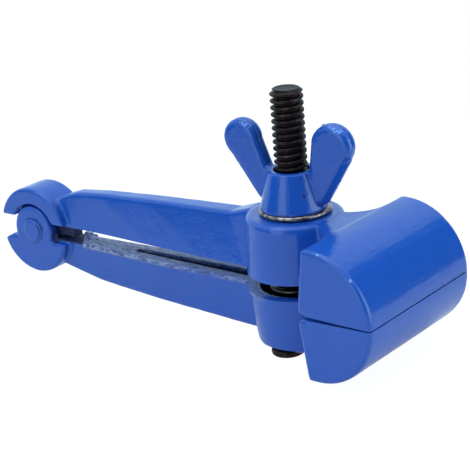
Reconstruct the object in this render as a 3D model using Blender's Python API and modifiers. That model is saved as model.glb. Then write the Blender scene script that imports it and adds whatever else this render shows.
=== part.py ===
"""A small hand vise: two cast arms hinged at a knuckle, clamped by a bolt and a wing nut.

Metres, +Z up. X runs from the knuckle towards the jaws, Y along the jaws. The origin is on the
bolt's axis, on the flat underside of the bolt's cross head, which is what the vise stands on.
Everything is modelled about the closing plane, the level plane in which the jaws meet.
"""

import math

import bmesh
import bpy
from mathutils import Matrix, Vector

MM = 0.001

# Fits
CLEARANCE = 0.3 * MM
SEAT_GAP = 0.1 * MM
OVERRUN = 1.0 * MM

# Reaches along X from the bolt's axis
HINGE_REACH = 82.3 * MM
JAW_REACH = 33.5 * MM

# Travel
OPEN_ANGLE = math.radians(12.0)
LEAN_ANGLE = math.radians(5.57)

# Arms: a tapered bar that is widest at its inner face
UPPER_INNER_LEVEL = 2.1 * MM
LOWER_INNER_LEVEL = 1.7 * MM
ARM_DEPTH = 12.1 * MM
ARM_HALF_WIDTH = 3.4 * MM
ARM_EDGE_ROUND = 1.0 * MM
# Reach from the arm's root at the knuckle, depth, inner width and outer width
UPPER_ARM_SHARES = (
    (0.000, 0.537, 0.90, 0.62),
    (0.020, 0.587, 0.90, 0.62),
    (0.053, 0.702, 0.90, 0.64),
    (0.097, 0.785, 0.90, 0.66),
    (0.213, 0.859, 0.91, 0.69),
    (0.438, 0.934, 1.18, 0.78),
    (0.651, 0.983, 1.36, 0.84),
    (0.775, 1.008, 1.44, 0.88),
    (0.842, 1.132, 1.50, 1.00),
    (1.000, 1.132, 1.50, 1.00),
)
LOWER_ARM_SHARES = (
    (0.001, 0.562, 0.88, 0.62),
    (0.053, 0.611, 0.88, 0.62),
    (0.116, 0.694, 0.88, 0.64),
    (0.216, 0.817, 0.91, 0.68),
    (0.465, 0.934, 1.18, 0.78),
    (0.668, 0.991, 1.20, 0.84),
    (0.845, 1.033, 1.25, 0.94),
    (1.000, 1.033, 1.25, 1.00),
)

# Cored channel along each arm's inner face
CHANNEL_REACH = 50.5 * MM
CHANNEL_DEPTH = 4.5 * MM
CHANNEL_TIP_HALF_WIDTH = 1.0 * MM
CHANNEL_ROOT_HALF_WIDTH = 1.8 * MM

# Bolt with a cross head
BOLT_RADIUS = 3.85 * MM
BOLT_TOP = 45.3 * MM
BOLT_CHAMFER = 0.9 * MM
HEAD_HALF_LENGTH = 10.0 * MM
HEAD_THICKNESS = 1.7 * MM
HEAD_ROUND = 0.25 * MM
HEAD_GROOVE_DEPTH = 0.8 * MM
HEAD_ROCK_GAP = 0.4 * MM

# Spring
SPRING_WIRE_RADIUS = 1.0 * MM
SPRING_ROOM = 0.65 * MM
SPRING_TURNS = 5
SPRING_END_PITCH = 2.5 * MM
SPRING_POINTS_A_TURN = 10
SPRING_LEAST_GAP = 0.4 * MM

# Bosses, each with a round pocket for the spring
POCKET_FLOOR = 8.2 * MM
POCKET_ROOM = 2.7 * MM
BOSS_WALL = 2.8 * MM
UPPER_BOSS_HEIGHT = 13.9 * MM
LOWER_BOSS_HEIGHT = 14.0 * MM
UPPER_BOSS_TAPER = 0.4 * MM
LOWER_BOSS_TAPER = 1.5 * MM
UPPER_BOSS_ROUND = 1.4 * MM
LOWER_BOSS_ROUND = 2.0 * MM

# Jaws
JAW_WIDTH = 41.0 * MM
UPPER_JAW_DEPTH = 16.0 * MM
LOWER_JAW_DEPTH = 15.1 * MM
JAW_BACK_REACH = 16.0 * MM
JAW_BACK_LEAN = 1.85 * MM
JAW_BACK_CORNER = 1.4 * MM
UPPER_NOSE_SHARE = 0.906
LOWER_NOSE_SHARE = 0.854
JAW_NOSE_GAP = 0.3 * MM
JAW_BACK_GAP = 0.9 * MM
JAW_EDGE_ROUND = 0.8 * MM

# Neck between boss and jaw
NECK_HALF_WIDTH = 5.0 * MM
NECK_FILLET = 8.5 * MM
NECK_BITE = 2.5 * MM
NECK_STEP = 0.2 * MM

# Knuckle
KNUCKLE_RADIUS = 11.4 * MM
KNUCKLE_WIDTH = 9.6 * MM
KNUCKLE_EDGE_ROUND = 0.6 * MM
HOOD_WALL = 4.4 * MM
HOOD_HEEL_LEVEL = 3.0 * MM
HOOD_TOE_LEVEL = 2.4 * MM
CHEEK_GAP = 0.5 * MM
LIP_OUTER_LEVEL = 3.5 * MM
LIP_INNER_LEVEL = 2.1 * MM
LIP_INNER_REACH = 8.0 * MM
TONGUE_THICKNESS = 3.2 * MM
TONGUE_WEB_INSET = 0.6 * MM

# Rivet
RIVET_RADIUS = 2.0 * MM
RIVET_HEAD_RADIUS = 2.8 * MM
RIVET_HEAD_STAND = 0.6 * MM
RIVET_HEAD_SINK = 0.9 * MM
RIVET_HEAD_ROUND = 0.4 * MM

# Washer
WASHER_THICKNESS = 0.9 * MM
WASHER_RADIUS = 8.7 * MM
WASHER_ROOM = 0.5 * MM
WASHER_ROUND = 0.25 * MM

# Wing nut
NUT_HEIGHT = 9.1 * MM
NUT_BASE_WALL = 4.0 * MM
NUT_TOP_WALL = 1.85 * MM
NUT_TOP_ROUND = 0.5 * MM
NUT_FOOT_ROUND = 0.25 * MM
NUT_TURN = math.radians(6.0)
BACK_WING_REACH = 17.0 * MM
FRONT_WING_REACH = 16.5 * MM
BACK_WING_TIP_RADIUS = 4.7 * MM
FRONT_WING_TIP_RADIUS = 5.2 * MM
WING_TIP_LEVEL = 15.4 * MM
WING_HALF_THICKNESS = 2.1 * MM
WING_EDGE_ROUND = 1.5 * MM
WING_ROOT_LEVEL = 0.6 * MM

# Facets
ROUND_STEPS = 48
SMALL_ROUND_STEPS = 32
ARC_STEPS = 14
EDGE_STEPS = 3
MERGE_DISTANCE = 0.01 * MM
SMOOTH_ANGLE = math.radians(35.0)
FLAT_ANGLE = math.radians(0.5)

# Sizes that follow from the others
POCKET_RADIUS = BOLT_RADIUS + SPRING_ROOM + 2 * SPRING_WIRE_RADIUS + POCKET_ROOM
BOSS_RADIUS = POCKET_RADIUS + BOSS_WALL
UPPER_BOSS_LEVEL = UPPER_INNER_LEVEL + UPPER_BOSS_HEIGHT
LOWER_BOSS_LEVEL = LOWER_INNER_LEVEL + LOWER_BOSS_HEIGHT
GROOVE_LEVEL = LOWER_BOSS_LEVEL - HEAD_GROOVE_DEPTH
HEAD_TOP_LEVEL = GROOVE_LEVEL + HEAD_ROCK_GAP
HEAD_FOOT_LEVEL = HEAD_TOP_LEVEL + HEAD_THICKNESS
UPPER_WEB = UPPER_BOSS_LEVEL - POCKET_FLOOR
LOWER_WEB = GROOVE_LEVEL - POCKET_FLOOR
UPPER_HOLE_RADIUS = BOLT_RADIUS + UPPER_WEB * math.tan(OPEN_ANGLE - LEAN_ANGLE) + CLEARANCE
LOWER_HOLE_RADIUS = BOLT_RADIUS + (LOWER_WEB + HEAD_ROCK_GAP) * math.tan(LEAN_ANGLE) + CLEARANCE
HOOD_INNER_RADIUS = KNUCKLE_RADIUS - HOOD_WALL
CHEEK_RADIUS = HOOD_INNER_RADIUS - CHEEK_GAP
TONGUE_RADIUS = CHEEK_RADIUS - CLEARANCE / 3
TONGUE_SLOT_RADIUS = TONGUE_RADIUS + CLEARANCE
RIVET_HOLE_RADIUS = RIVET_RADIUS + CLEARANCE
WASHER_LEVEL = UPPER_BOSS_LEVEL + CLEARANCE
NUT_LEVEL = WASHER_LEVEL + WASHER_THICKNESS + SEAT_GAP
NUT_BORE_RADIUS = BOLT_RADIUS + CLEARANCE

# Colours, roughness and metallic value of each finish
FINISHES = {
    "blue_enamel": ((0.045, 0.120, 0.480), 0.22, 0.0),
    "black_oxide": ((0.020, 0.020, 0.022), 0.45, 0.8),
    "spring_steel": ((0.10, 0.10, 0.11), 0.35, 1.0),
    "bright_steel": ((0.60, 0.60, 0.62), 0.25, 1.0),
}


class Workshop:
    """Holds the two collections, the closing plane's empty and the finishes."""

    def __init__(self):
        self.parts = self.collection("hand_vise")
        self.tools = self.collection("cutters")
        self.plane = bpy.data.objects.new("closing_plane", None)
        self.plane.location = (0, 0, HEAD_FOOT_LEVEL)
        self.parts.objects.link(self.plane)
        self.finishes = {name: self.finish(name) for name in FINISHES}

    @staticmethod
    def collection(name):
        made = bpy.data.collections.new(name)
        bpy.context.scene.collection.children.link(made)
        return made

    @staticmethod
    def finish(name):
        colour, roughness, metallic = FINISHES[name]
        material = bpy.data.materials.new(name)
        material.use_nodes = True
        shader = material.node_tree.nodes["Principled BSDF"]
        shader.inputs["Base Color"].default_value = (*colour, 1.0)
        shader.inputs["Roughness"].default_value = roughness
        shader.inputs["Metallic"].default_value = metallic
        material.diffuse_color = (*colour, 1.0)
        return material

    def add(self, name, mesh, origin, finish=None):
        """Puts a mesh in the scene as a part, or as a cutter where it has no finish."""
        obj = bpy.data.objects.new(name, mesh)
        obj.location = origin
        obj.parent = self.plane
        if finish:
            self.parts.objects.link(obj)
            mesh.materials.append(self.finishes[finish])
        else:
            self.tools.objects.link(obj)
            obj.hide_render = True
            obj.display_type = "WIRE"
        return obj


def remove_startup_objects():
    for obj in list(bpy.data.objects):
        bpy.data.objects.remove(obj, do_unlink=True)


def arc(centre, radius, start, end, steps, rise=None):
    """Points from one angle to the other, in degrees, both ends included. A rise makes it oval."""
    rise = rise or radius
    angles = [math.radians(start + (end - start) * step / steps) for step in range(steps + 1)]
    return [(centre[0] + radius * math.cos(a), centre[1] + rise * math.sin(a)) for a in angles]


def weld(mesh):
    work = bmesh.new()
    work.from_mesh(mesh)
    bmesh.ops.remove_doubles(work, verts=work.verts, dist=MERGE_DISTANCE)
    bmesh.ops.recalc_face_normals(work, faces=work.faces)
    work.to_mesh(mesh)
    work.free()


def merge_flat_faces(mesh):
    """Makes one face of each flat end, which the curve's fill leaves in triangles."""
    work = bmesh.new()
    work.from_mesh(mesh)
    bmesh.ops.dissolve_limit(work, angle_limit=FLAT_ANGLE, verts=work.verts, edges=work.edges)
    work.to_mesh(mesh)
    work.free()


def mesh_of_curve(curve):
    """The closed mesh of a curve object, which is then removed."""
    guide = bpy.data.objects.new(curve.name, curve)
    bpy.context.scene.collection.objects.link(guide)
    graph = bpy.context.evaluated_depsgraph_get()
    mesh = bpy.data.meshes.new_from_object(guide.evaluated_get(graph))
    bpy.data.objects.remove(guide, do_unlink=True)
    weld(mesh)
    return mesh


def plate(name, outline, half_thickness):
    """A flat outline in X and Y, thickened both ways along Z."""
    curve = bpy.data.curves.new(name, "CURVE")
    curve.dimensions = "2D"
    curve.fill_mode = "BOTH"
    curve.extrude = half_thickness
    spline = curve.splines.new("POLY")
    spline.points.add(len(outline) - 1)
    for point, (x, y) in zip(spline.points, outline):
        point.co = (x, y, 0, 1)
    spline.use_cyclic_u = True
    mesh = mesh_of_curve(curve)
    merge_flat_faces(mesh)
    return mesh


def upright_plate(name, outline, half_thickness):
    """A flat outline in X and Z, thickened both ways along Y."""
    mesh = plate(name, outline, half_thickness)
    mesh.transform(Matrix.Rotation(math.radians(90), 4, "X"))
    return mesh


def level_plate(name, outline, low, high):
    """A flat outline in X and Y, from one level to the other."""
    mesh = plate(name, outline, abs(high - low) / 2)
    mesh.transform(Matrix.Translation((0, 0, (low + high) / 2)))
    return mesh


def profile_mesh(name, points):
    """An open outline of (radius, level) pairs, from the top of the axis to its foot."""
    mesh = bpy.data.meshes.new(name)
    edges = [(index, index + 1) for index in range(len(points) - 1)]
    mesh.from_pydata([(radius, 0, level) for radius, level in points], edges, [])
    return mesh


def loft(name, rings):
    """A closed solid through rings that have the same number of points."""
    work = bmesh.new()
    rows = [[work.verts.new(point) for point in ring] for ring in rings]
    count = len(rows[0])
    for near, far in zip(rows, rows[1:]):
        for index in range(count):
            after = (index + 1) % count
            work.faces.new((near[index], near[after], far[after], far[index]))
    work.faces.new(rows[0])
    work.faces.new(rows[-1])
    bmesh.ops.recalc_face_normals(work, faces=work.faces)
    mesh = bpy.data.meshes.new(name)
    work.to_mesh(mesh)
    work.free()
    return mesh


def spin(obj, steps):
    screw = obj.modifiers.new("turned", "SCREW")
    screw.axis = "Z"
    screw.steps = steps
    screw.render_steps = steps
    screw.use_merge_vertices = True
    screw.merge_threshold = MERGE_DISTANCE
    screw.use_smooth_shade = True


def round_edges(obj, width, segments=EDGE_STEPS):
    bevel = obj.modifiers.new("rounded", "BEVEL")
    bevel.width = width
    bevel.segments = segments
    bevel.limit_method = "ANGLE"
    bevel.angle_limit = SMOOTH_ANGLE


def combine(obj, tool, operation):
    boolean = obj.modifiers.new(tool.name, "BOOLEAN")
    boolean.operation = operation
    boolean.solver = "EXACT"
    boolean.use_hole_tolerant = True
    boolean.object = tool


def join(obj, tool):
    combine(obj, tool, "UNION")


def cut(obj, tool):
    combine(obj, tool, "DIFFERENCE")


def shade(obj):
    obj.data.shade_smooth()
    obj.data.set_sharp_from_angle(angle=SMOOTH_ANGLE)


class Casting:
    """What the two arms share. The side is 1 for the upper arm and -1 for the lower one."""

    def __init__(self, shop, name, side):
        self.shop = shop
        self.name = name
        self.side = side
        upper = side > 0
        self.inner_level = UPPER_INNER_LEVEL if upper else LOWER_INNER_LEVEL
        self.arm_shares = UPPER_ARM_SHARES if upper else LOWER_ARM_SHARES
        self.boss_level = UPPER_BOSS_LEVEL if upper else LOWER_BOSS_LEVEL
        self.boss_taper = UPPER_BOSS_TAPER if upper else LOWER_BOSS_TAPER
        self.boss_round = UPPER_BOSS_ROUND if upper else LOWER_BOSS_ROUND
        self.jaw_depth = UPPER_JAW_DEPTH if upper else LOWER_JAW_DEPTH
        self.nose_share = UPPER_NOSE_SHARE if upper else LOWER_NOSE_SHARE
        self.root = HOOD_INNER_RADIUS if upper else CHEEK_RADIUS / 2
        self.hole_radius = UPPER_HOLE_RADIUS if upper else LOWER_HOLE_RADIUS

    def tool(self, name, mesh, origin=(0, 0, 0)):
        return self.shop.add(f"{self.name}_{name}", mesh, origin)

    def section(self, reach_share, depth_share, inner_share, outer_share):
        """One ring of the arm: a drafted bar with its two outer edges rounded."""
        x = (HINGE_REACH - self.root) * (reach_share - 1)
        inner = ARM_HALF_WIDTH * inner_share
        outer = ARM_HALF_WIDTH * outer_share - ARM_EDGE_ROUND
        level = self.inner_level + ARM_DEPTH * depth_share
        half = arc((outer, level - ARM_EDGE_ROUND), ARM_EDGE_ROUND, 0, 90, EDGE_STEPS)
        half.insert(0, (inner, self.inner_level))
        ring = half + [(-y, z) for y, z in reversed(half)]
        return [(x, y, self.side * z) for y, z in ring]

    def bar(self):
        return loft(self.name, [self.section(*row) for row in self.arm_shares])

    def boss(self):
        top = BOSS_RADIUS - self.boss_taper
        corner = (top - self.boss_round, self.boss_level - self.boss_round)
        outline = [(0, self.boss_level), *arc(corner, self.boss_round, 90, 0, EDGE_STEPS + 1)]
        outline += [(BOSS_RADIUS, self.inner_level), (0, self.inner_level)]
        if self.side < 0:
            outline = [(radius, -level) for radius, level in reversed(outline)]
        boss = self.tool("boss", profile_mesh("boss", outline))
        spin(boss, ROUND_STEPS)
        return boss

    def jaw(self):
        nose = JAW_NOSE_GAP / 2
        back = JAW_BACK_GAP / 2
        rise = self.jaw_depth - nose
        run = (JAW_REACH - JAW_BACK_REACH) * self.nose_share
        foot = JAW_BACK_REACH - JAW_BACK_LEAN
        corner = (foot + JAW_BACK_CORNER, back + JAW_BACK_CORNER)
        outline = [
            (JAW_BACK_REACH, self.jaw_depth),
            *arc(corner, JAW_BACK_CORNER, 180, 270, EDGE_STEPS),
            *arc((JAW_REACH - run, nose), run, 0, 90, ARC_STEPS, rise),
        ]
        outline = [(x, self.side * z) for x, z in outline]
        jaw = self.tool("jaw", upright_plate("jaw", outline, JAW_WIDTH / 2))
        round_edges(jaw, JAW_EDGE_ROUND, EDGE_STEPS - 1)
        return jaw

    def neck(self):
        centre = (JAW_BACK_REACH - NECK_FILLET, NECK_HALF_WIDTH + NECK_FILLET)
        side = [(BOLT_RADIUS, NECK_HALF_WIDTH), *arc(centre, NECK_FILLET, 270, 360, ARC_STEPS // 2)]
        side.append((JAW_BACK_REACH + NECK_BITE, NECK_HALF_WIDTH + NECK_FILLET))
        outline = side + [(x, -y) for x, y in reversed(side)]
        low, high = self.side * self.inner_level, self.side * (self.jaw_depth - NECK_STEP)
        return self.tool("neck", level_plate("neck", outline, low, high))

    def channel(self):
        tip = (CHANNEL_TIP_HALF_WIDTH - CHANNEL_REACH, 0)
        outline = arc(tip, CHANNEL_TIP_HALF_WIDTH, 90, 270, ARC_STEPS // 2)
        root = BOLT_RADIUS - POCKET_RADIUS
        outline += [(root, -CHANNEL_ROOT_HALF_WIDTH), (root, CHANNEL_ROOT_HALF_WIDTH)]
        low = self.side * (self.inner_level - OVERRUN)
        high = self.side * (self.inner_level + CHANNEL_DEPTH)
        return self.tool("channel", level_plate("channel", outline, low, high))

    def bore(self):
        """One cutter on the bolt's axis for the spring's pocket and the bolt's hole.

        It stands half a facet round from the boss, so their edges cross and don't coincide.
        """
        mouth, far = self.inner_level - OVERRUN, self.boss_level + OVERRUN
        outline = [(0, far), (self.hole_radius, far), (self.hole_radius, POCKET_FLOOR)]
        outline += [(POCKET_RADIUS, POCKET_FLOOR), (POCKET_RADIUS, mouth), (0, mouth)]
        if self.side < 0:
            outline = [(radius, -level) for radius, level in reversed(outline)]
        bore = self.tool("bore", profile_mesh("bore", outline))
        bore.rotation_euler.z = math.pi / ROUND_STEPS
        spin(bore, ROUND_STEPS)
        return bore

    def finish(self, obj):
        """Joins boss, jaw and neck to the arm, then cuts the channel and the stepped bore."""
        join(obj, self.boss())
        join(obj, self.jaw())
        join(obj, self.neck())
        cut(obj, self.channel())
        cut(obj, self.bore())
        shade(obj)


HINGE = Vector((-HINGE_REACH, 0, 0))


def hinge_cylinder(shop, name, radius, half_width):
    """A round cutter about the hinge's axis."""
    outline = arc((0, 0), radius, 0, 360 - 360 / ROUND_STEPS, ROUND_STEPS - 1)
    return shop.add(name, upright_plate(name, outline, half_width), HINGE)


def hood_outline():
    """The half ring over the knuckle, about the hinge's axis, with level ends."""
    heel = math.degrees(math.asin(HOOD_HEEL_LEVEL / KNUCKLE_RADIUS))
    toe = math.degrees(math.asin(HOOD_TOE_LEVEL / KNUCKLE_RADIUS))
    inner_heel = math.degrees(math.asin(HOOD_HEEL_LEVEL / HOOD_INNER_RADIUS))
    inner_toe = math.degrees(math.asin(HOOD_TOE_LEVEL / HOOD_INNER_RADIUS))
    outer = arc((0, 0), KNUCKLE_RADIUS, toe, 180 - heel, 2 * ARC_STEPS)
    return outer + arc((0, 0), HOOD_INNER_RADIUS, 180 - inner_heel, inner_toe, 2 * ARC_STEPS)


def fork_outline():
    """The round cheeks and the half ring under them, about the hinge's axis."""
    lip = math.degrees(math.asin(LIP_OUTER_LEVEL / KNUCKLE_RADIUS))
    toe = math.degrees(math.asin(HOOD_TOE_LEVEL / KNUCKLE_RADIUS))
    cheek_lip = math.degrees(math.asin(LIP_INNER_LEVEL / CHEEK_RADIUS))
    cheek_toe = math.degrees(math.asin(HOOD_TOE_LEVEL / CHEEK_RADIUS))
    ring = arc((0, 0), KNUCKLE_RADIUS, 180 + lip, 360 - toe, 2 * ARC_STEPS)
    cheek = arc((0, 0), CHEEK_RADIUS, -cheek_toe, 180 + cheek_lip, 2 * ARC_STEPS)
    return ring + cheek + [(-LIP_INNER_REACH, -LIP_INNER_LEVEL)]


def tongue_outline():
    """The round tongue between the cheeks, and the web that carries it under the hood."""
    toe_level = HOOD_TOE_LEVEL + TONGUE_WEB_INSET
    heel_level = HOOD_HEEL_LEVEL + TONGUE_WEB_INSET
    toe = math.degrees(math.asin(toe_level / TONGUE_RADIUS))
    heel = math.degrees(math.asin(heel_level / TONGUE_RADIUS))
    web_radius = (HOOD_INNER_RADIUS + KNUCKLE_RADIUS) / 2
    web_toe = math.degrees(math.asin(toe_level / web_radius))
    web_heel = math.degrees(math.asin(heel_level / web_radius))
    web = arc((0, 0), web_radius, web_toe, 180 - web_heel, ARC_STEPS)
    return web + arc((0, 0), TONGUE_RADIUS, 180 - heel, 360 + toe, 2 * ARC_STEPS)


def set_origin(obj, origin):
    """Moves an object's origin to a point of the closing frame, with its shape left in place."""
    obj.data.transform(Matrix.Translation(obj.location - Vector(origin)))
    obj.location = origin


def make_upper_arm(shop):
    casting = Casting(shop, "upper_arm", 1)
    arm = shop.add("upper_arm", casting.bar(), (0, 0, 0), "blue_enamel")
    set_origin(arm, HINGE)
    hood = casting.tool("hood", upright_plate("hood", hood_outline(), KNUCKLE_WIDTH / 2), HINGE)
    round_edges(hood, KNUCKLE_EDGE_ROUND, EDGE_STEPS - 1)
    join(arm, hood)
    tongue = upright_plate("tongue", tongue_outline(), TONGUE_THICKNESS / 2)
    join(arm, casting.tool("tongue", tongue, HINGE))
    casting.finish(arm)
    cut(arm, hinge_cylinder(shop, "upper_arm_rivet_hole", RIVET_HOLE_RADIUS, KNUCKLE_WIDTH))


def make_lower_arm(shop):
    casting = Casting(shop, "lower_arm", -1)
    arm = shop.add("lower_arm", casting.bar(), (0, 0, 0), "blue_enamel")
    fork = casting.tool("fork", upright_plate("fork", fork_outline(), KNUCKLE_WIDTH / 2), HINGE)
    round_edges(fork, KNUCKLE_EDGE_ROUND, EDGE_STEPS - 1)
    join(arm, fork)
    slot = TONGUE_THICKNESS / 2 + CLEARANCE
    cut(arm, hinge_cylinder(shop, "lower_arm_tongue_slot", TONGUE_SLOT_RADIUS, slot))
    cut(arm, hinge_cylinder(shop, "lower_arm_rivet_hole", RIVET_HOLE_RADIUS, KNUCKLE_WIDTH))
    for side in (-1, 1):
        sink = hinge_cylinder(
            shop, f"lower_arm_rivet_sink_{side}", RIVET_HEAD_RADIUS + CLEARANCE, RIVET_HEAD_SINK
        )
        sink.location.y = side * KNUCKLE_WIDTH / 2
        cut(arm, sink)
    casting.finish(arm)
    half_width = BOLT_RADIUS + CLEARANCE
    reach = BOSS_RADIUS + OVERRUN
    corners = [(-half_width, -reach), (half_width, -reach), (half_width, reach), (-half_width, reach)]
    groove = level_plate("groove", corners, -GROOVE_LEVEL, -LOWER_BOSS_LEVEL - OVERRUN)
    cut(arm, casting.tool("groove", groove))


def make_rivet(shop):
    """The rivet lies along Y, so its outline is turned about a Z axis that is laid down."""
    face = KNUCKLE_WIDTH / 2
    crown = face + RIVET_HEAD_STAND
    under = face - RIVET_HEAD_SINK + CLEARANCE
    corner = (RIVET_HEAD_RADIUS - RIVET_HEAD_ROUND, crown - RIVET_HEAD_ROUND)
    half = [(0, crown), *arc(corner, RIVET_HEAD_ROUND, 90, 0, EDGE_STEPS)]
    half += [(RIVET_HEAD_RADIUS, under), (RIVET_RADIUS, under)]
    outline = half + [(radius, -level) for radius, level in reversed(half)]
    rivet = shop.add("hinge_rivet", profile_mesh("hinge_rivet", outline), HINGE, "blue_enamel")
    rivet.rotation_euler.x = math.radians(90)
    spin(rivet, SMALL_ROUND_STEPS)
    shade(rivet)


def make_bolt(shop):
    """The bolt rocks about the middle of its cross head's upper face, so its origin is there."""
    pivot = -HEAD_TOP_LEVEL
    neck = BOLT_RADIUS - BOLT_CHAMFER
    outline = [
        (0, BOLT_TOP - pivot),
        (neck, BOLT_TOP - pivot),
        (BOLT_RADIUS, BOLT_TOP - BOLT_CHAMFER - pivot),
        (BOLT_RADIUS, -HEAD_THICKNESS / 2),
        (0, -HEAD_THICKNESS / 2),
    ]
    bolt = shop.add("clamp_bolt", profile_mesh("clamp_bolt", outline), (0, 0, pivot), "black_oxide")
    spin(bolt, ROUND_STEPS)
    end = HEAD_HALF_LENGTH - BOLT_RADIUS
    head_outline = arc((0, end), BOLT_RADIUS, 0, 180, ARC_STEPS)
    head_outline += arc((0, -end), BOLT_RADIUS, 180, 360, ARC_STEPS)
    mesh = level_plate("cross_head", head_outline, -HEAD_THICKNESS, 0)
    head = shop.add("clamp_bolt_head", mesh, (0, 0, pivot))
    round_edges(head, HEAD_ROUND, 1)
    join(bolt, head)
    shade(bolt)


def make_spring(shop):
    """One wire from pocket floor to pocket floor, with its end turns closer than the rest."""
    low = SPRING_WIRE_RADIUS + CLEARANCE - POCKET_FLOOR
    rise = -2 * low
    middle_pitch = (rise - 2 * SPRING_END_PITCH) / (SPRING_TURNS - 2)
    radius = BOLT_RADIUS + SPRING_ROOM + SPRING_WIRE_RADIUS
    points = []
    for step in range(SPRING_TURNS * SPRING_POINTS_A_TURN + 1):
        turn = step / SPRING_POINTS_A_TURN
        first = min(turn, 1)
        last = max(turn - SPRING_TURNS + 1, 0)
        level = low + (first + last) * SPRING_END_PITCH + (turn - first - last) * middle_pitch
        angle = 2 * math.pi * turn
        points.append(Vector((radius * math.cos(angle), radius * math.sin(angle), level)))
    report_least_gap(points)
    curve = bpy.data.curves.new("opening_spring", "CURVE")
    curve.dimensions = "3D"
    curve.bevel_depth = SPRING_WIRE_RADIUS
    curve.bevel_resolution = 1
    curve.use_fill_caps = True
    spline = curve.splines.new("POLY")
    spline.points.add(len(points) - 1)
    for point, place in zip(spline.points, points):
        point.co = (*place, 1)
    spring = shop.add("opening_spring", mesh_of_curve(curve), (0, 0, 0), "spring_steel")
    shade(spring)


def report_least_gap(points):
    """Prints the least gap between the wire's turns, measured between points half a turn apart or more."""
    apart = SPRING_POINTS_A_TURN // 2
    gaps = [
        (far - near).length - 2 * SPRING_WIRE_RADIUS
        for index, near in enumerate(points)
        for far in points[index + apart:]
    ]
    print(f"opening_spring: least gap {min(gaps) / MM:.2f} mm, over {SPRING_LEAST_GAP / MM:.1f} mm")


def make_washer(shop):
    inner = BOLT_RADIUS + WASHER_ROOM
    edge = WASHER_RADIUS - WASHER_ROUND
    outline = [
        (inner, 0),
        (inner, WASHER_THICKNESS),
        (edge, WASHER_THICKNESS),
        (WASHER_RADIUS, WASHER_THICKNESS - WASHER_ROUND),
        (WASHER_RADIUS, WASHER_ROUND),
        (edge, 0),
        (inner, 0),
    ]
    mesh = profile_mesh("washer", outline)
    washer = shop.add("washer", mesh, (0, 0, WASHER_LEVEL), "bright_steel")
    spin(washer, ROUND_STEPS)
    shade(washer)


def wing_outline(reach, tip_radius):
    """One wing in X and Z over the nut's base: a round tip, and two edges down to the hub."""
    centre = (reach - tip_radius, WING_TIP_LEVEL)
    root = BOLT_RADIUS + NUT_BASE_WALL - WING_EDGE_ROUND
    inside = NUT_BORE_RADIUS + NUT_TOP_WALL / 2
    away = Vector(centre) - Vector((root, WING_ROOT_LEVEL))
    slope = math.atan2(away.y, away.x) - math.asin(tip_radius / away.length)
    tangent = math.degrees(slope) - 90
    outline = arc(centre, tip_radius, tangent, 180, ARC_STEPS)
    under = NUT_HEIGHT - NUT_TOP_ROUND
    middle = BOLT_RADIUS / 2
    return outline + [(inside, under), (middle, under), (middle, WING_ROOT_LEVEL), (root, WING_ROOT_LEVEL)]


def make_wing_nut(shop):
    base = BOLT_RADIUS + NUT_BASE_WALL
    top = BOLT_RADIUS + NUT_TOP_WALL
    corner = (top - NUT_TOP_ROUND, NUT_HEIGHT - NUT_TOP_ROUND)
    outline = [(0, NUT_HEIGHT), *arc(corner, NUT_TOP_ROUND, 90, 0, EDGE_STEPS)]
    outline += [(base, NUT_FOOT_ROUND), (base - NUT_FOOT_ROUND, 0), (0, 0)]
    origin = (0, 0, NUT_LEVEL)
    nut = shop.add("wing_nut", profile_mesh("wing_nut", outline), origin, "blue_enamel")
    spin(nut, ROUND_STEPS)
    back = (-1, BACK_WING_REACH, BACK_WING_TIP_RADIUS)
    front = (1, FRONT_WING_REACH, FRONT_WING_TIP_RADIUS)
    for side, reach, tip_radius in (back, front):
        shape = [(side * x, z) for x, z in wing_outline(reach, tip_radius)]
        mesh = upright_plate("wing", shape, WING_HALF_THICKNESS)
        wing = shop.add(f"wing_nut_wing_{side}", mesh, origin)
        round_edges(wing, WING_EDGE_ROUND)
        wing.rotation_euler.z = NUT_TURN
        join(nut, wing)
    shape = [(0, NUT_HEIGHT + OVERRUN), (NUT_BORE_RADIUS, NUT_HEIGHT + OVERRUN)]
    shape += [(NUT_BORE_RADIUS, -OVERRUN), (0, -OVERRUN)]
    bore = shop.add("wing_nut_bore", profile_mesh("wing_nut_bore", shape), origin)
    spin(bore, ROUND_STEPS)
    cut(nut, bore)
    shade(nut)


def main():
    remove_startup_objects()
    shop = Workshop()
    make_lower_arm(shop)
    make_upper_arm(shop)
    make_rivet(shop)
    make_bolt(shop)
    make_spring(shop)
    make_washer(shop)
    make_wing_nut(shop)


main()
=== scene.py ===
"""A hand vise in blue enamel: two hinged iron castings, closed by a black bolt and a wing nut.

Metres, +Z up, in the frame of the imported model. X runs from the knuckle towards the jaws, Y along
the jaws, and the origin is on the bolt's axis, under the flat foot of its cross head. Levels in
the text below are given from the closing plane, in which the jaws meet.
"""

import logging
import math
from collections.abc import Callable, Iterable
from dataclasses import dataclass
from enum import Enum
from typing import Self

import bpy
from mathutils import Matrix, Vector


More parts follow.
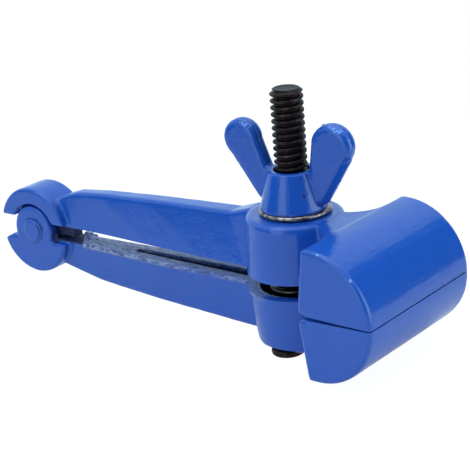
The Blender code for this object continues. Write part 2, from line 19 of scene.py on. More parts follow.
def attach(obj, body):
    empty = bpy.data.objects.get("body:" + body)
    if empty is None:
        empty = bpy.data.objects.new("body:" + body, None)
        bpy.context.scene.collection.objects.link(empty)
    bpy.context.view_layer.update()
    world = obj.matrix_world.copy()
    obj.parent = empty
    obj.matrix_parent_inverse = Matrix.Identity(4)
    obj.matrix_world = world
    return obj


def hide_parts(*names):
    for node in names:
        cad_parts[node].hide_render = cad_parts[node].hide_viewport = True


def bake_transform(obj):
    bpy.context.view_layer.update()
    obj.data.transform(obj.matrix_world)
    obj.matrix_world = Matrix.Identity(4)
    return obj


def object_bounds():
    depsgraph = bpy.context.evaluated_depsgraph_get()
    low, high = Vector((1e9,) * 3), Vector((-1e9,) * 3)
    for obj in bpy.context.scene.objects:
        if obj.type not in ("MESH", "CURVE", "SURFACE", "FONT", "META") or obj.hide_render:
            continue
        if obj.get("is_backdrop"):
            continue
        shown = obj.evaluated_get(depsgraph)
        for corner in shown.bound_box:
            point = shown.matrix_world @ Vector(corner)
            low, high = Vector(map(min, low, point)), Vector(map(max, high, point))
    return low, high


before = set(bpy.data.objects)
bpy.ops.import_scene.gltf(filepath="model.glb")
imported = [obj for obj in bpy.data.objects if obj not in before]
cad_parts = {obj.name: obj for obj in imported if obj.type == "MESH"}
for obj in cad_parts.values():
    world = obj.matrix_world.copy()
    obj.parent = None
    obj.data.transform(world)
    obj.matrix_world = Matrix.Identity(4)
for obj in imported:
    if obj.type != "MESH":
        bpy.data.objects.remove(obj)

LOG = logging.getLogger("hand_vise")

MM = 0.001
CLOSING_LEVEL = 17.0 * MM
HINGE_REACH = 82.3 * MM
NUT_TURN = math.radians(6.0)
WELD = 0.001 * MM

Colour = tuple[float, float, float]
Place = tuple[float, float, float]
Lengths = tuple[float, ...]


def mm(*lengths: float) -> Lengths:
    """Turn millimetres into metres."""
    return tuple(length * MM for length in lengths)


def over_closing(x: float, y: float, level: float) -> Place:
    """Turn millimetres, with the level over the closing plane, into a place."""
    return (x * MM, y * MM, CLOSING_LEVEL + level * MM)


def on_wing(reach: float, out: float, level: float) -> Place:
    """Find a place on the nut's wings from millimetres.

    Args:
        reach: How far it lies along the wings.
        out: How far it lies in front of their middle.
        level: Its level over the closing plane.

    Returns:
        The place.
    """
    along = Vector((math.cos(NUT_TURN), math.sin(NUT_TURN), 0))
    front = Vector((math.sin(NUT_TURN), -math.cos(NUT_TURN), 0))
    return tuple(reach * MM * along + out * MM * front + Vector(over_closing(0, 0, level)))


@dataclass(frozen=True)
class Mark:
    """Something small and round on a piece. The methods that make it take millimetres."""

    place: Place
    radius: float

    @classmethod
    def over(cls, x: float, y: float, level: float, radius: float, *rest: object) -> Self:
        """Make a mark at a place whose level is over the closing plane."""
        return cls(over_closing(x, y, level), radius * MM, *rest)

    @classmethod
    def wing(cls, reach: float, out: float, level: float, radius: float, *rest: object) -> Self:
        """Make a mark at a place on the nut's wings."""
        return cls(on_wing(reach, out, level), radius * MM, *rest)


# Shaders


class Signal:
    """One socket of a shader. Python's operators on it add the Math nodes."""

    def __init__(self, graph: "Graph", socket: bpy.types.NodeSocket) -> None:
        """Wrap an output socket of a node tree."""
        self.graph = graph
        self.socket = socket

    def math(self, operation: str, *others: "Signal | float") -> "Signal":
        """Add a Math node after this socket, with the others in the sockets after the first."""
        return self.graph.math(operation, self, *others)

    def __add__(self, other: "Signal | float") -> "Signal":
        """Return this plus the other."""
        return self.math("ADD", other)

    def __radd__(self, other: float) -> "Signal":
        """Return a number plus this."""
        return self.math("ADD", other)

    def __sub__(self, other: "Signal | float") -> "Signal":
        """Return this less the other."""
        return self.math("SUBTRACT", other)

    def __rsub__(self, other: float) -> "Signal":
        """Return a number less this."""
        return self.graph.math("SUBTRACT", other, self)

    def __mul__(self, other: "Signal | float") -> "Signal":
        """Return this times the other."""
        return self.math("MULTIPLY", other)

    def __rmul__(self, other: float) -> "Signal":
        """Return a number times this."""
        return self.math("MULTIPLY", other)

    def __pow__(self, other: "Signal | float") -> "Signal":
        """Return this to the power of the other."""
        return self.math("POWER", other)

    def __abs__(self) -> "Signal":
        """Return this without its sign."""
        return self.math("ABSOLUTE")

    def step(self, low: float, high: float) -> "Signal":
        """Rise smoothly from 0 to 1 between two values, or fall where low is over high.

        Args:
            low: Where the result is 0.
            high: Where the result is 1.

        Returns:
            The smooth step.
        """
        if low > high:
            return 1.0 - self.step(high, low)
        return self.graph.signal(
            "ShaderNodeMapRange",
            {"interpolation_type": "SMOOTHSTEP"},
            {"Value": self, "From Min": low, "From Max": high},
        )

    def span(self, edges: Lengths) -> "Signal":
        """Rise from 0 to 1 between the first two values, and fall again between the last two."""
        return self.step(edges[0], edges[1]) * self.step(edges[3], edges[2])


Input = Signal | float | tuple


class Graph:
    """The node tree of one material or of the world."""

    def __init__(self, owner: bpy.types.Material | bpy.types.World) -> None:
        """Empty the owner's node tree.

        Args:
            owner: The material or world that is given its nodes.
        """
        owner.use_nodes = True
        self.tree = owner.node_tree
        self.tree.nodes.clear()

    def node(self, kind: str, settings: dict | None = None, inputs: dict | None = None) -> bpy.types.Node:
        """Add a node.

        Args:
            kind: The node's type.
            settings: Its properties, which are set first.
            inputs: A value or a Signal for each socket, by name or number.

        Returns:
            The new node.
        """
        made = self.tree.nodes.new(kind)
        for name, setting in (settings or {}).items():
            setattr(made, name, setting)
        for name, given in (inputs or {}).items():
            if isinstance(given, Signal):
                self.tree.links.new(given.socket, made.inputs[name])
            else:
                made.inputs[name].default_value = given
        return made

    def signal(
        self, kind: str, settings: dict | None = None, inputs: dict | None = None, output: str | int = 0
    ) -> Signal:
        """Add a node and return one of its outputs.

        Args:
            kind: The node's type.
            settings: Its properties.
            inputs: A value or a Signal for each socket.
            output: The name or number of the output.

        Returns:
            The output.
        """
        return Signal(self, self.node(kind, settings, inputs).outputs[output])

    def math(self, operation: str, *values: Signal | float) -> Signal:
        """Add a Math node with an operation, and the values in its sockets."""
        return self.signal("ShaderNodeMath", {"operation": operation}, dict(enumerate(values)))

    def blend(self, factor: Signal | float, first: Signal | Colour, second: Signal | Colour) -> Signal:
        """Mix two colours.

        Args:
            factor: 0 for the first colour, 1 for the second.
            first: The first colour.
            second: The second colour.

        Returns:
            The mixed colour.
        """
        ends = [one if isinstance(one, Signal) else (*one, 1.0) for one in (first, second)]
        return self.signal(
            "ShaderNodeMix", {"data_type": "RGBA"}, {0: factor, 6: ends[0], 7: ends[1]}, output=2
        )

    def place(self) -> Signal:
        """Return the place on the piece, in metres."""
        return self.signal("ShaderNodeTexCoord", output="Object")

    def axes(self, vector: Signal) -> tuple[Signal, Signal, Signal]:
        """Part a vector into its three numbers."""
        parted = self.node("ShaderNodeSeparateXYZ", inputs={0: vector})
        return tuple(Signal(self, parted.outputs[index]) for index in range(3))

    def radius(self, vector: Signal) -> Signal:
        """Measure a place's distance from the bolt's axis."""
        x, y, _ = self.axes(vector)
        return (x * x + y * y) ** 0.5

    def stretched(self, vector: Signal, scale: Place) -> Signal:
        """Scale a place by axis, so that a pattern on it is drawn out."""
        return self.signal("ShaderNodeMapping", inputs={"Vector": vector, "Scale": scale})

    def noise(self, vector: Signal, grain: float, detail: float = 2.0, bend: float = 0.0) -> Signal:
        """Add soft noise from 0 to 1.

        Args:
            vector: The place that it is read at.
            grain: The size of its lumps in metres.
            detail: How many finer layers it has.
            bend: How far it is drawn about by itself.

        Returns:
            The noise.
        """
        inputs = {"Vector": vector, "Scale": 1.0 / grain, "Detail": detail, "Distortion": bend}
        return self.signal("ShaderNodeTexNoise", inputs=inputs)

    def spots(self, vector: Signal, spacing: float, radius: float, share: float) -> Signal:
        """Scatter round spots, of which only a share of the places is filled.

        Args:
            vector: The place that they are read at.
            spacing: The mean distance between places in metres.
            radius: The radius of a spot in metres.
            share: How many of the places have a spot, from 0 to 1.

        Returns:
            1 at the middle of a spot and 0 outside it.
        """
        cells = self.node("ShaderNodeTexVoronoi", inputs={"Vector": vector, "Scale": 1.0 / spacing})
        near = Signal(self, cells.outputs["Distance"]).step(radius / spacing, 0.3 * radius / spacing)
        tone = self.signal("ShaderNodeSeparateColor", inputs={0: Signal(self, cells.outputs["Color"])})
        return near * tone.math("LESS_THAN", share)

    def near(self, vector: Signal, centre: Place, radius: float, soft: float = 0.5) -> Signal:
        """Mark a round spot.

        Args:
            vector: The place that is tested.
            centre: The middle of the spot.
            radius: Its radius in metres.
            soft: The share of the radius over which it fades.

        Returns:
            1 inside the spot and 0 outside it.
        """
        away = self.signal(
            "ShaderNodeVectorMath", {"operation": "DISTANCE"}, {0: vector, 1: centre}, output="Value"
        )
        return away.step(radius, radius * (1.0 - soft))

    def bump(self, height: Signal) -> Signal:
        """Turn a height in metres into a normal."""
        return self.signal("ShaderNodeBump", inputs={"Height": height, "Distance": 1.0})

    def surface(self, **inputs: Input) -> None:
        """Finish with the main shader.

        Args:
            inputs: A value or a Signal for each socket, by its name with _ for a space.
        """
        named = {name.replace("_", " "): given for name, given in inputs.items()}
        named = {name: (*given, 1.0) if isinstance(given, tuple) else given for name, given in named.items()}
        shader = self.signal("ShaderNodeBsdfPrincipled", inputs=named)
        self.node("ShaderNodeOutputMaterial", inputs={"Surface": shader})


class SpotKind(Enum):
    """What is marked on the enamel at one spot: real flaws, painted shadow and painted highlights."""

    # A painted highlight: a light spot on an edge, with a slight rise.
    CHIP = "a pale chip on an edge"
    PIT = "a dark pinhole"
    # Dark crazed paint, which by the rivet head also stands for the head's painted shadow.
    CRAZE = "a dark crazed patch"
    # A painted highlight, broken up into a patch.
    SCUFF = "a broken light patch"


@dataclass(frozen=True)
class Spot(Mark):
    """One marked spot on the enamel: a real flaw, painted shadow or a painted highlight."""

    spot_kind: SpotKind = SpotKind.PIT


@dataclass(frozen=True)
class ArmMarks:
    """Where painted shade and rough paint lie on the arms.

    A pair of lengths gives where an edge begins and where the mark is full. Four give where a
    mark begins, is full, is last full and has ended. Levels are from the closing plane.
    """

    root_slope: float = 0.78
    root_shade: Lengths = mm(-68.4, -69.2)
    root_rough: Lengths = mm(-69.2, -68.4)
    gap_heel: Lengths = mm(-76.6, -75.4)
    gap_level: Lengths = mm(-2.3, -1.9, -0.2, 0.0)
    lug_side: Lengths = mm(2.0, 1.8)
    lug_level: Lengths = mm(2.9, 2.6)
    lug_toe: Lengths = mm(-69.5, -69.9)
    cheek_run: Lengths = mm(-76.2, -75.3, -74.9, -74.4)
    cheek_level: Lengths = mm(2.9, 2.3)
    channel_run: Lengths = mm(-51.5, -50.0, -9.0, -6.0)
    channel_side: Lengths = mm(2.1, 1.7)
    channel_level: Lengths = mm(2.0, 2.8, 6.9, 7.4)
    shade_strength: float = 0.92
    inner_level: Lengths = mm(3.3, 2.3)
    inner_toe: Lengths = mm(0.0, -5.0)
    rim_level: Lengths = mm(1.8, 1.5)
    rim_radius: Lengths = mm(9.95, 9.70)
    rim_toe: Lengths = mm(3.0, -1.0)

    def tint_share(self, graph: Graph, place: Signal) -> Signal:
        """Mark the recesses that are painted dark as shade: the knuckle's gap and the cored channels.

        Args:
            graph: The finish's node tree.
            place: The place on the piece.

        Returns:
            Nearly 1 in the recesses and 0 elsewhere.
        """
        x, y, z = graph.axes(place)
        height = z - CLOSING_LEVEL
        level = abs(height)
        root = (x + self.root_slope * y).step(*self.root_shade) * height.span(self.gap_level)
        lug = abs(y).step(*self.lug_side) * level.step(*self.lug_level) * x.step(*self.lug_toe)
        gap = x.step(*self.gap_heel) * root.math("MAXIMUM", lug)
        cheek = x.span(self.cheek_run) * level.step(*self.cheek_level)
        channel = x.span(self.channel_run) * abs(y).step(*self.channel_side) * level.span(self.channel_level)
        return self.shade_strength * gap.math("MAXIMUM", cheek).math("MAXIMUM", channel)

    def rough(self, graph: Graph, place: Signal) -> Signal:
        """Mark the inner faces, which the spray reached badly. They carry the wrinkled paint, a painted
        reflection and painted shade in the folds.

        Args:
            graph: The finish's node tree.
            place: The place on the piece.

        Returns:
            1 on the rough faces and 0 elsewhere.
        """
        x, y, z = graph.axes(place)
        inner = abs(z - CLOSING_LEVEL).step(*self.inner_level) * x.step(*self.inner_toe)
        return inner * (x + self.root_slope * y).step(*self.root_rough)

    def pocket_rim(self, graph: Graph, place: Signal) -> Signal:
        """Mark the rim of the spring's pocket, where the paint is thin.

        Args:
            graph: The finish's node tree.
            place: The place on the piece.

        Returns:
            1 on the rim and 0 elsewhere.
        """
        x, y, z = graph.axes(place)
        rim = abs(z - CLOSING_LEVEL).step(*self.rim_level) * x.step(*self.rim_toe)
        return rim * graph.radius(place).step(*self.rim_radius)


@dataclass(frozen=True)
class Finish:
    """A finish whose pattern reads the place on the piece."""

    name: str

    def material(self) -> bpy.types.Material:
        """Build the finish.

        Returns:
            The material.
        """
        made = bpy.data.materials.new(self.name)
        graph = Graph(made)
        self.paint(graph, graph.place())
        return made

    def paint(self, graph: Graph, place: Signal) -> None:
        """Lay the nodes from the place on the piece to the shader. Each finish has its own."""
        raise NotImplementedError


@dataclass(frozen=True)
class Enamel(Finish):
    """Glossy blue enamel, sprayed thickly over rough iron."""

    spots: tuple[Spot, ...] = ()
    wrinkled: bool = False
    marks: ArmMarks = ArmMarks()
    deep: Colour = (0.0104, 0.078, 0.414)
    full: Colour = (0.0120, 0.085, 0.450)
    # Painted shade: the near-black navy laid in the recesses and in the wrinkles' folds.
    painted_shade_navy: Colour = (0.009, 0.008, 0.045)
    # Painted reflection: the pale lavender grey laid on the lower arm's inner faces.
    painted_reflection_grey: Colour = (0.340, 0.350, 0.460)
    bared: Colour = (0.850, 0.830, 0.790)
    # Painted highlight: the light blue of the edge highlights and the wings' highlight patches.
    painted_highlight_blue: Colour = (0.150, 0.330, 0.900)
    pitted: Colour = (0.003, 0.008, 0.030)
    gloss: float = 0.13
    flow_grain: float = 9.0 * MM
    peel_grain: float = 0.80 * MM
    peel_height: float = 0.010 * MM
    streak_grain: float = 0.45 * MM
    streak_draw: Place = (1.0, 0.14, 1.0)
    streak_height: float = 0.045 * MM
    ripple_grain: float = 2.6 * MM
    ripple_draw: Place = (1.0, 0.4, 1.0)
    ripple_height: float = 0.060 * MM
    wrinkle_grain: float = 1.0 * MM
    wrinkle_draw: Place = (0.45, 1.6, 1.0)
    wrinkle_height: float = 0.30 * MM
    reflection_run: Lengths = mm(-22.0, -55.0)
    crack_grain: float = 0.55 * MM
    breakup_grain: float = 0.90 * MM
    pit_spacing: float = 5.0 * MM
    pit_radius: float = 0.16 * MM
    pit_share: float = 0.10
    pit_depth: float = 0.10 * MM
    highlight_rise: float = 0.05 * MM

    def paint(self, graph: Graph, place: Signal) -> None:
        """Lay the nodes of the paint, its flaws, and its painted shade, reflection and highlights.

        Args:
            graph: The finish's node tree.
            place: The place on the piece.
        """
        flow = graph.noise(place, self.flow_grain, detail=3.0)
        drawn = graph.stretched(place, self.ripple_draw)
        ripple = graph.noise(drawn, self.ripple_grain, detail=1.5, bend=0.6)
        peel = graph.noise(place, self.peel_grain)
        streaks = graph.noise(graph.stretched(place, self.streak_draw), self.streak_grain)
        rim_and_highlight_breakup = graph.noise(place, self.breakup_grain, detail=3.0, bend=1.0).step(0.40, 0.60)
        height = self.ripple_height * ripple + self.peel_height * peel + self.streak_height * streaks
        roughness = self.gloss + 0.05 * flow
        colour = graph.blend(flow, self.deep, self.full)
        if self.wrinkled:
            drawn = graph.stretched(place, self.wrinkle_draw)
            folds = graph.noise(drawn, self.wrinkle_grain, detail=3.0, bend=1.2)
            rough = self.marks.rough(graph, place)
            # Painted reflection on the inner faces' raised folds, stronger towards the knuckle.
            pale = rough * (0.50 + 0.50 * graph.axes(place)[0].step(*self.reflection_run))
            colour = graph.blend(pale * (0.35 + 0.65 * folds.step(0.46, 0.60)), colour, self.painted_reflection_grey)
            # Painted shade in the troughs of the folds.
            colour = graph.blend(0.8 * rough * folds.step(0.45, 0.36), colour, self.painted_shade_navy)
            rim = self.marks.pocket_rim(graph, place) * (0.4 + 0.6 * rim_and_highlight_breakup)
            colour = graph.blend(rim, colour, self.bared)
            height = height + self.wrinkle_height * folds * rough
            roughness = roughness + 0.25 * rough
        # Painted shade in the knuckle's gap and the channels, which are also made rougher.
        tint_share = self.marks.tint_share(graph, place)
        highlights, pits = self.marked_spots(graph, place, rim_and_highlight_breakup)
        for mark, overlay in ((tint_share, self.painted_shade_navy), (highlights, self.painted_highlight_blue), (pits, self.pitted)):
            colour = graph.blend(mark, colour, overlay)
        graph.surface(
            Base_Color=colour,
            Roughness=roughness + 0.3 * pits + 0.5 * tint_share,
            Normal=graph.bump(height - self.pit_depth * pits + self.highlight_rise * highlights),
        )

    def marked_spots(self, graph: Graph, place: Signal, rim_and_highlight_breakup: Signal) -> tuple[Signal, Signal]:
        """Mark the spots that are listed, and a few pinholes all over.

        Args:
            graph: The finish's node tree.
            place: The place on the piece.
            rim_and_highlight_breakup: What breaks up a painted highlight patch.

        Returns:
            Where painted highlights lie, and where the paint is dark.
        """
        cracks = graph.noise(place, self.crack_grain, detail=3.0, bend=2.0).step(0.50, 0.60)
        light = 0.0 * rim_and_highlight_breakup
        dark = graph.spots(place, self.pit_spacing, self.pit_radius, self.pit_share)
        for spot in self.spots:
            mark = graph.near(place, spot.place, spot.radius, soft=0.25 if spot.spot_kind is SpotKind.CRAZE else 0.5)
            if spot.spot_kind is SpotKind.CRAZE:
                dark = dark.math("MAXIMUM", 0.75 * mark * cracks)
            elif spot.spot_kind is SpotKind.PIT:
                dark = dark.math("MAXIMUM", mark)
            # Painted highlight patches, broken up.
            elif spot.spot_kind is SpotKind.SCUFF:
                light = light.math("MAXIMUM", mark * rim_and_highlight_breakup)
            # Painted edge highlights.
            else:
                light = light.math("MAXIMUM", mark)
        return light, dark


@dataclass(frozen=True)
class BlackOxide(Finish):
    """Blackened steel with a dull oily sheen, lighter on its crests and darker in its grooves."""

    dark: Colour = (0.0180, 0.0110, 0.0110)
    crest_tone: Colour = (0.056, 0.036, 0.036)
    blotch_grain: float = 1.3 * MM
    scale_grain: float = 0.18 * MM
    crest_radius: Lengths = mm(3.25, 3.80)

    def paint(self, graph: Graph, place: Signal) -> None:
        """Lay the nodes of the oxide.

        Args:
            graph: The finish's node tree.
            place: The place on the piece.
        """
        blotch = graph.noise(place, self.blotch_grain, detail=4.0, bend=0.4)
        scale = graph.noise(place, self.scale_grain)
        # Lighter on the thread's crests and darker in its grooves, by the distance from the axis.
        crest = graph.radius(place).step(*self.crest_radius)
        crest_share = blotch.step(0.38, 0.72) * (0.15 + 0.85 * crest)
        graph.surface(
            Base_Color=graph.blend(crest_share, self.dark, self.crest_tone),
            Metallic=0.90,
            Roughness=0.40 + 0.16 * scale,
            Normal=graph.bump(0.012 * MM * scale + 0.02 * MM * blotch),
        )


@dataclass(frozen=True)
class SpringWire(Finish):
    """Dark drawn wire with fine lines along it."""

    tone: Colour = (0.050, 0.040, 0.037)
    light: Colour = (0.110, 0.088, 0.082)
    oil_grain: float = 2.0 * MM
    line_grain: float = 0.5 * MM
    line_draw: Place = (1.0, 1.0, 9.0)

    def paint(self, graph: Graph, place: Signal) -> None:
        """Lay the nodes of the wire.

        Args:
            graph: The finish's node tree.
            place: The place on the piece.
        """
        tint_share = graph.noise(place, self.oil_grain, detail=3.0)
        lines = graph.noise(graph.stretched(place, self.line_draw), self.line_grain)
        graph.surface(
            Base_Color=graph.blend(tint_share, self.tone, self.light),
            Metallic=1.0,
            Roughness=0.24 + 0.16 * tint_share,
            Normal=graph.bump(0.008 * MM * lines),
        )


@dataclass(frozen=True)
class BrightSteel(Finish):
    """A stamped steel washer: bright, with turned lines and a few dull spots."""

    bright: Colour = (0.40, 0.31, 0.29)
    dull: Colour = (0.13, 0.104, 0.098)
    ring_pitch: float = 0.35 * MM
    stain_grain: float = 1.6 * MM

    def paint(self, graph: Graph, place: Signal) -> None:
        """Lay the nodes of the steel.

        Args:
            graph: The finish's node tree.
            place: The place on the piece.
        """
        rings = (graph.radius(place) * (2.0 * math.pi / self.ring_pitch)).math("SINE")
        overlay = graph.noise(place, self.stain_grain, detail=4.0, bend=0.8)
        graph.surface(
            Base_Color=graph.blend(overlay.step(0.46, 0.62), self.bright, self.dull),
            Metallic=1.0,
            Roughness=0.24 + 0.20 * overlay,
            Normal=graph.bump(0.004 * MM * rings + 0.015 * MM * overlay),
        )


# The bench


class Bench:
    """Where pieces are made: it starts them, selects what is worked on, and applies modifiers."""

    @staticmethod
    def clear() -> None:
        """Leave edit mode and deselect every object."""
        if bpy.context.mode != "OBJECT":
            bpy.ops.object.mode_set(mode="OBJECT")
        bpy.ops.object.select_all(action="DESELECT")

    @staticmethod
    def pick(piece: bpy.types.Object) -> None:
        """Select one object alone and make it active.

        Args:
            piece: The object.
        """
        Bench.clear()
        piece.select_set(True)
        bpy.context.view_layer.objects.active = piece

    @staticmethod
    def named(name: str) -> bpy.types.Object:
        """Name the object that an operator has just added.

        Args:
            name: The piece's name.

        Returns:
            The object.
        """
        piece = bpy.context.active_object
        piece.name = name
        piece.data.name = name
        return piece

    @staticmethod
    def add(name: str, data: bpy.types.ID) -> bpy.types.Object:
        """Put a new object into the scene.

        Args:
            name: Its name.
            data: Its mesh, curve, lamp or camera.

        Returns:
            The object.
        """
        made = bpy.data.objects.new(name, data)
        bpy.context.scene.collection.objects.link(made)
        return made

    @staticmethod
    def sketch(
        name: str, points: Iterable[Place], edges: Iterable[tuple], faces: Iterable[tuple]
    ) -> bpy.types.Object:
        """Add an object with a mesh of a few points.

        Args:
            name: Its name.
            points: The points.
            edges: The numbers of the points that each edge joins.
            faces: The numbers of the points round each face.

        Returns:
            The object.
        """
        mesh = bpy.data.meshes.new(name)
        mesh.from_pydata(points, edges, faces)
        return Bench.add(name, mesh)

    @staticmethod
    def copy_node(node: str, name: str) -> bpy.types.Object:
        """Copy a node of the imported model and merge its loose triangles.

        Args:
            node: The node that is copied.
            name: The copy's name.

        Returns:
            The copy, as an object of its own.
        """
        copy = Bench.add(name, bpy.data.objects[node].data.copy())
        copy.data.materials.clear()
        Bench.edit(copy, lambda: bpy.ops.mesh.remove_doubles(threshold=WELD))
        return copy

    @staticmethod
    def edit(
        piece: bpy.types.Object,
        work: Callable[[], object],
        only: Callable[[bpy.types.MeshPolygon], bool] | None = None,
    ) -> None:
        """Run operators in edit mode.

        Args:
            piece: The piece that is worked on.
            work: Calls the operators.
            only: Tells which faces are selected. All are, where it isn't given.
        """
        Bench.pick(piece)
        for face in piece.data.polygons:
            face.select = only is None or only(face)
        for edge in piece.data.edges:
            edge.select = False
        for vertex in piece.data.vertices:
            vertex.select = False
        for face in piece.data.polygons:
            if face.select:
                for corner in face.vertices:
                    piece.data.vertices[corner].select = True
        bpy.ops.object.mode_set(mode="EDIT")
        bpy.ops.mesh.select_mode(type="FACE")
        if only is None:
            bpy.ops.mesh.select_all(action="SELECT")
        work()
        bpy.ops.object.mode_set(mode="OBJECT")

    @staticmethod
    def modify(piece: bpy.types.Object, kind: str, **settings: object) -> None:
        """Add a modifier and apply it.

        Args:
            piece: The piece that is changed.
            kind: The modifier's type.
            settings: Its properties.
        """
        Bench.pick(piece)
        modifier = piece.modifiers.new(kind.lower(), kind)
        for name, setting in settings.items():
            setattr(modifier, name, setting)
        bpy.ops.object.modifier_apply(modifier=modifier.name)

    @staticmethod
    def combine(piece: bpy.types.Object, tool: bpy.types.Object, operation: str) -> None:
        """Join a tool to a piece, or cut or keep by it, and remove the tool."""
        Bench.modify(piece, "BOOLEAN", object=tool, operation=operation, solver="EXACT")
        bpy.data.objects.remove(tool, do_unlink=True)

    @staticmethod
    def join(piece: bpy.types.Object, others: Iterable[bpy.types.Object]) -> None:
        """Take other objects' meshes into a piece.

        Args:
            piece: The piece that keeps its name.
            others: The objects that go into it.
        """
        others = list(others)
        if others:
            Bench.pick(piece)
            for other in others:
                other.select_set(True)
            bpy.ops.object.join()

    @staticmethod
    def box(name: str, low: Place, high: Place) -> bpy.types.Object:
        """Make a box.

        Args:
            name: Its name.
            low: Its lowest corner.
            high: Its highest corner.

        Returns:
            The box, with its corners in its mesh.
        """
        Bench.clear()
        bpy.ops.mesh.primitive_cube_add(size=1.0)
        piece = Bench.named(name)
        piece.scale = Vector(high) - Vector(low)
        piece.location = (Vector(high) + Vector(low)) / 2
        Bench.settle(piece)
        return piece

    @staticmethod
    def turn(name: str, stations: Iterable[tuple[float, float]], segments: int) -> bpy.types.Object:
        """Turn a solid of stations, from its foot up, each extruded from the last.

        Args:
            name: The piece's name.
            stations: Pairs of radius and level.
            segments: How many sides it has.

        Returns:
            The solid, closed at both ends.
        """
        (radius, level), *rest = stations
        Bench.clear()
        bpy.ops.mesh.primitive_circle_add(
            vertices=segments, radius=radius, fill_type="NGON", location=(0, 0, level)
        )
        piece = Bench.named(name)
        Bench.settle(piece)
        bpy.ops.object.mode_set(mode="EDIT")
        bpy.ops.mesh.select_mode(type="FACE")
        bpy.ops.mesh.select_all(action="SELECT")
        for wide, high in rest:
            rise = {"value": (0, 0, high - level)}
            bpy.ops.mesh.extrude_region_move(TRANSFORM_OT_translate=rise)
            ratio = wide / radius
            bpy.ops.transform.resize(value=(ratio, ratio, 1), center_override=(0, 0, high))
            radius, level = wide, high
        bpy.ops.mesh.select_all(action="SELECT")
        bpy.ops.mesh.normals_make_consistent(inside=False)
        bpy.ops.object.mode_set(mode="OBJECT")
        return piece

    @staticmethod
    def face_out(piece: bpy.types.Object) -> None:
        """Turn every face of a piece outwards."""
        Bench.edit(piece, lambda: bpy.ops.mesh.normals_make_consistent(inside=False))

    @staticmethod
    def settle(piece: bpy.types.Object) -> None:
        """Put an object's place, turn and scale into its mesh."""
        Bench.pick(piece)
        bpy.ops.object.transform_apply(location=True, rotation=True, scale=True)


# The sub-assemblies


@dataclass(frozen=True)
class Blob(Mark):
    """A lump of paint or iron that stands out of a casting's skin."""


@dataclass
class Part:
    """One piece of the vise, with the node it stands in for and the body that carries it."""

    node: str
    body: str
    finish: Finish
    slot: str = "enamel"
    crease: float = 40.0

    def shape(self) -> bpy.types.Object:
        """Make the bare piece. Each kind of part has its own way."""
        raise NotImplementedError

    def hang(self, piece: bpy.types.Object) -> None:
        """Let the piece ride on its body."""
        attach(piece, self.body)

    def build(self) -> bpy.types.Object:
        """Make the piece, shade it with an edge at each crease, finish it and hang it on its body.

        Returns:
            The finished piece.
        """
        piece = self.shape()
        Bench.pick(piece)
        bpy.ops.object.shade_smooth_by_angle(angle=math.radians(self.crease))
        piece.data.materials.clear()
        piece.data.materials.append(self.finish.material())
        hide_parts(self.node)
        self.hang(piece)
        return piece


@dataclass
class Casting(Part):
    """A sand cast iron piece, thickly painted."""

    blobs: tuple[Blob, ...] = ()
    grain: float = 0.32 * MM
    softening: int = 4
    unevenness: float = 0.10 * MM
    lumps: float = 5.5 * MM

    def padding(self) -> list[bpy.types.Object]:
        """List the solids that are cast on, to be trimmed later. A plain casting has none."""
        return []

    def carve(self, piece: bpy.types.Object) -> None:
        """Cut what the casting's soft edges go round. A plain casting has nothing to cut."""

    def trim(self, piece: bpy.types.Object) -> None:
        """Machine the piece's flat faces. A plain casting has none."""

    def shape(self) -> bpy.types.Object:
        """Cast the piece: its sharp solid gets soft edges, fillets and an uneven skin.

        Returns:
            The bare piece.
        """
        piece = Bench.copy_node(self.node, f"{self.node}_casting")
        self.carve(piece)
        Bench.join(piece, self.padding() + [self.lump(blob) for blob in self.blobs])
        Bench.modify(piece, "REMESH", mode="VOXEL", voxel_size=self.grain, use_smooth_shade=True)
        Bench.modify(piece, "SMOOTH", factor=0.5, iterations=self.softening)
        self.roughen(piece)
        self.trim(piece)
        return piece

    @staticmethod
    def lump(blob: Blob) -> bpy.types.Object:
        """Make one lump.

        Args:
            blob: Its place and size.

        Returns:
            A ball.
        """
        Bench.clear()
        bpy.ops.mesh.primitive_ico_sphere_add(subdivisions=3, radius=blob.radius, location=blob.place)
        ball = Bench.named("lump")
        Bench.settle(ball)
        return ball

    def roughen(self, piece: bpy.types.Object) -> None:
        """Let the skin sink in broad shallow hollows, and nowhere stand proud.

        Args:
            piece: The casting.
        """
        skin = bpy.data.textures.new(f"{self.node}_skin", "CLOUDS")
        skin.noise_scale = self.lumps
        skin.noise_depth = 1
        depth = {"mid_level": 1.0, "strength": self.unevenness}
        Bench.modify(piece, "DISPLACE", texture=skin, texture_coords="LOCAL", **depth)


